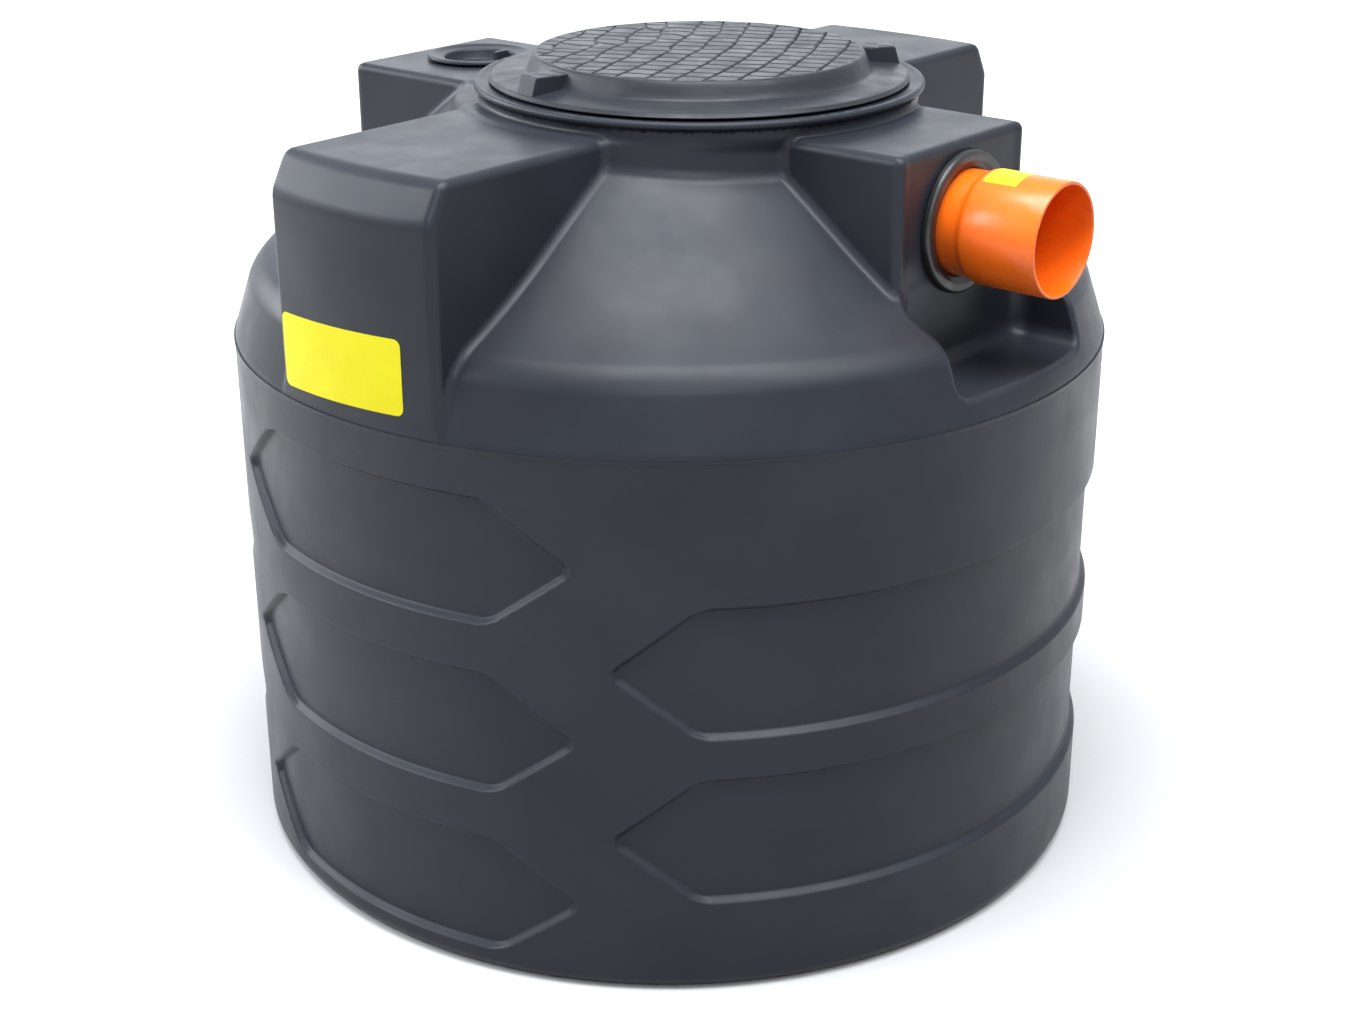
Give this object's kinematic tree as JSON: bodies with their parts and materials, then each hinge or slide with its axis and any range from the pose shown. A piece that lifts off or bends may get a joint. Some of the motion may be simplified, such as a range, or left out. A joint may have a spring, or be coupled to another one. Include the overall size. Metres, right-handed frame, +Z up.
{
  "type": "septic tank",
  "caption": "Round moulded plastic septic tank with recessed wall panels, four roof housings, a screw-on manhole cover and an orange outlet socket.",
  "frame": {"origin": "centre of the round base, on the floor", "axes": "+Z up; +X towards the outlet, -X towards the inlet, -Y towards the front housing"},
  "size_m": [1.015, 1, 0.9065],
  "materials": {
    "shell": "satin rotomoulded polyethylene, blue-black, finely uneven",
    "cover": "matt black moulded polypropylene with raised blocks on the dome",
    "rubber": "smooth black rubber, slightly shiny on the rounded lip",
    "pipe": "glossy orange sewer pipe plastic"
  },
  "bodies": {
    "tank": {"tank_base": "shell", "wall_front": "shell", "wall_back": "shell", "wall_outlet_side": "shell", "wall_inlet_side": "shell", "shoulder_front_right": "shell", "shoulder_back_right": "shell", "shoulder_back_left": "shell", "shoulder_front_left": "shell", "outlet_housing": "shell", "inlet_housing": "shell", "front_housing": "shell", "back_housing": "shell", "manhole_neck": "shell", "manhole_collar": "shell", "vent_socket": "shell", "outlet_grommet": "rubber", "inlet_grommet": "rubber", "outlet_pipe": "pipe", "vent_cap": "cover"},
    "seal": {"cover_seal": "rubber"},
    "cover": {"manhole_cover": "cover", "cover_skirt": "cover"}
  },
  "joints": [
    {"name": "cover_rise", "type": "slide", "parent": "tank", "child": "seal", "axis": [0, 0, 1], "range_m": [0, 0.018]},
    {"name": "cover_turn", "type": "hinge", "parent": "seal", "child": "cover", "pos_m": [0.044, 0, 0.8755], "axis": [0, 0, 1], "range_deg": [0, 540]}
  ],
  "couplings": [
    {"joint": "cover_rise", "follows": "cover_turn", "m_per_rad": 0.0019}
  ]
}
